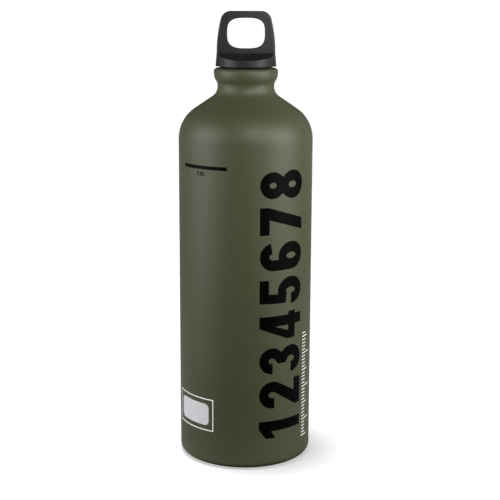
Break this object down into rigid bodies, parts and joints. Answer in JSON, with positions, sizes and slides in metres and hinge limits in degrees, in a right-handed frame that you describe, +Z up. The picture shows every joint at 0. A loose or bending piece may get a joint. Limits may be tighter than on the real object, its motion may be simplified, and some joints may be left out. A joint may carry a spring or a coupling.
{
  "type": "camping fuel bottle",
  "caption": "Slim upright metal bottle for liquid stove fuel, with a rolled neck bead and a screw-in, push-and-turn stopper that carries an upright loop handle.",
  "frame": {"origin": "centre of the foot ring, on the plane the bottle stands on", "axes": "+Z up along the bottle's axis; the loop plate lies in the XZ plane; -Y faces the picture's camera, with +X to the right"},
  "size_m": [0.08, 0.08, 0.2687],
  "materials": {
    "shell_coating": "satin olive green powder coat over aluminium",
    "bare_aluminium": "machined",
    "stopper_plastic": "moulded, fuel-resistant",
    "seal_rubber": "smooth nitrile rubber",
    "spring_steel": "drawn stainless wire",
    "cap_plastic": "satin black, finely textured moulding"
  },
  "bodies": {
    "bottle": {"bottle_shell": "shell_coating", "neck_thread_ring": "bare_aluminium"},
    "seal": {"plug_o_ring": "seal_rubber"},
    "stopper": {"stopper_plug": "stopper_plastic"},
    "spring": {"return_spring": "spring_steel"},
    "cap": {"loop_cap": "cap_plastic"}
  },
  "joints": [
    {"name": "stopper_lift", "type": "slide", "parent": "bottle", "child": "seal", "axis": [0, 0, 1], "range_m": [0, 0.018]},
    {"name": "stopper_turn", "type": "hinge", "parent": "seal", "child": "stopper", "pos_m": [0, 0, 0.2358], "axis": [0, 0, 1], "range_deg": [0, 2160]},
    {"name": "cap_slip", "type": "hinge", "parent": "stopper", "child": "spring", "pos_m": [0, 0, 0.2358], "axis": [0, 0, 1], "continuous": true},
    {"name": "cap_push", "type": "slide", "parent": "spring", "child": "cap", "axis": [0, 0, -1], "range_m": [0, 0.0009], "stiffness_N_per_m": 3000, "springref_m": -0.004, "deforming": ["return_spring"]}
  ],
  "couplings": [
    {"joint": "stopper_lift", "follows": "stopper_turn", "m_per_rad": 0.00047746}
  ]
}
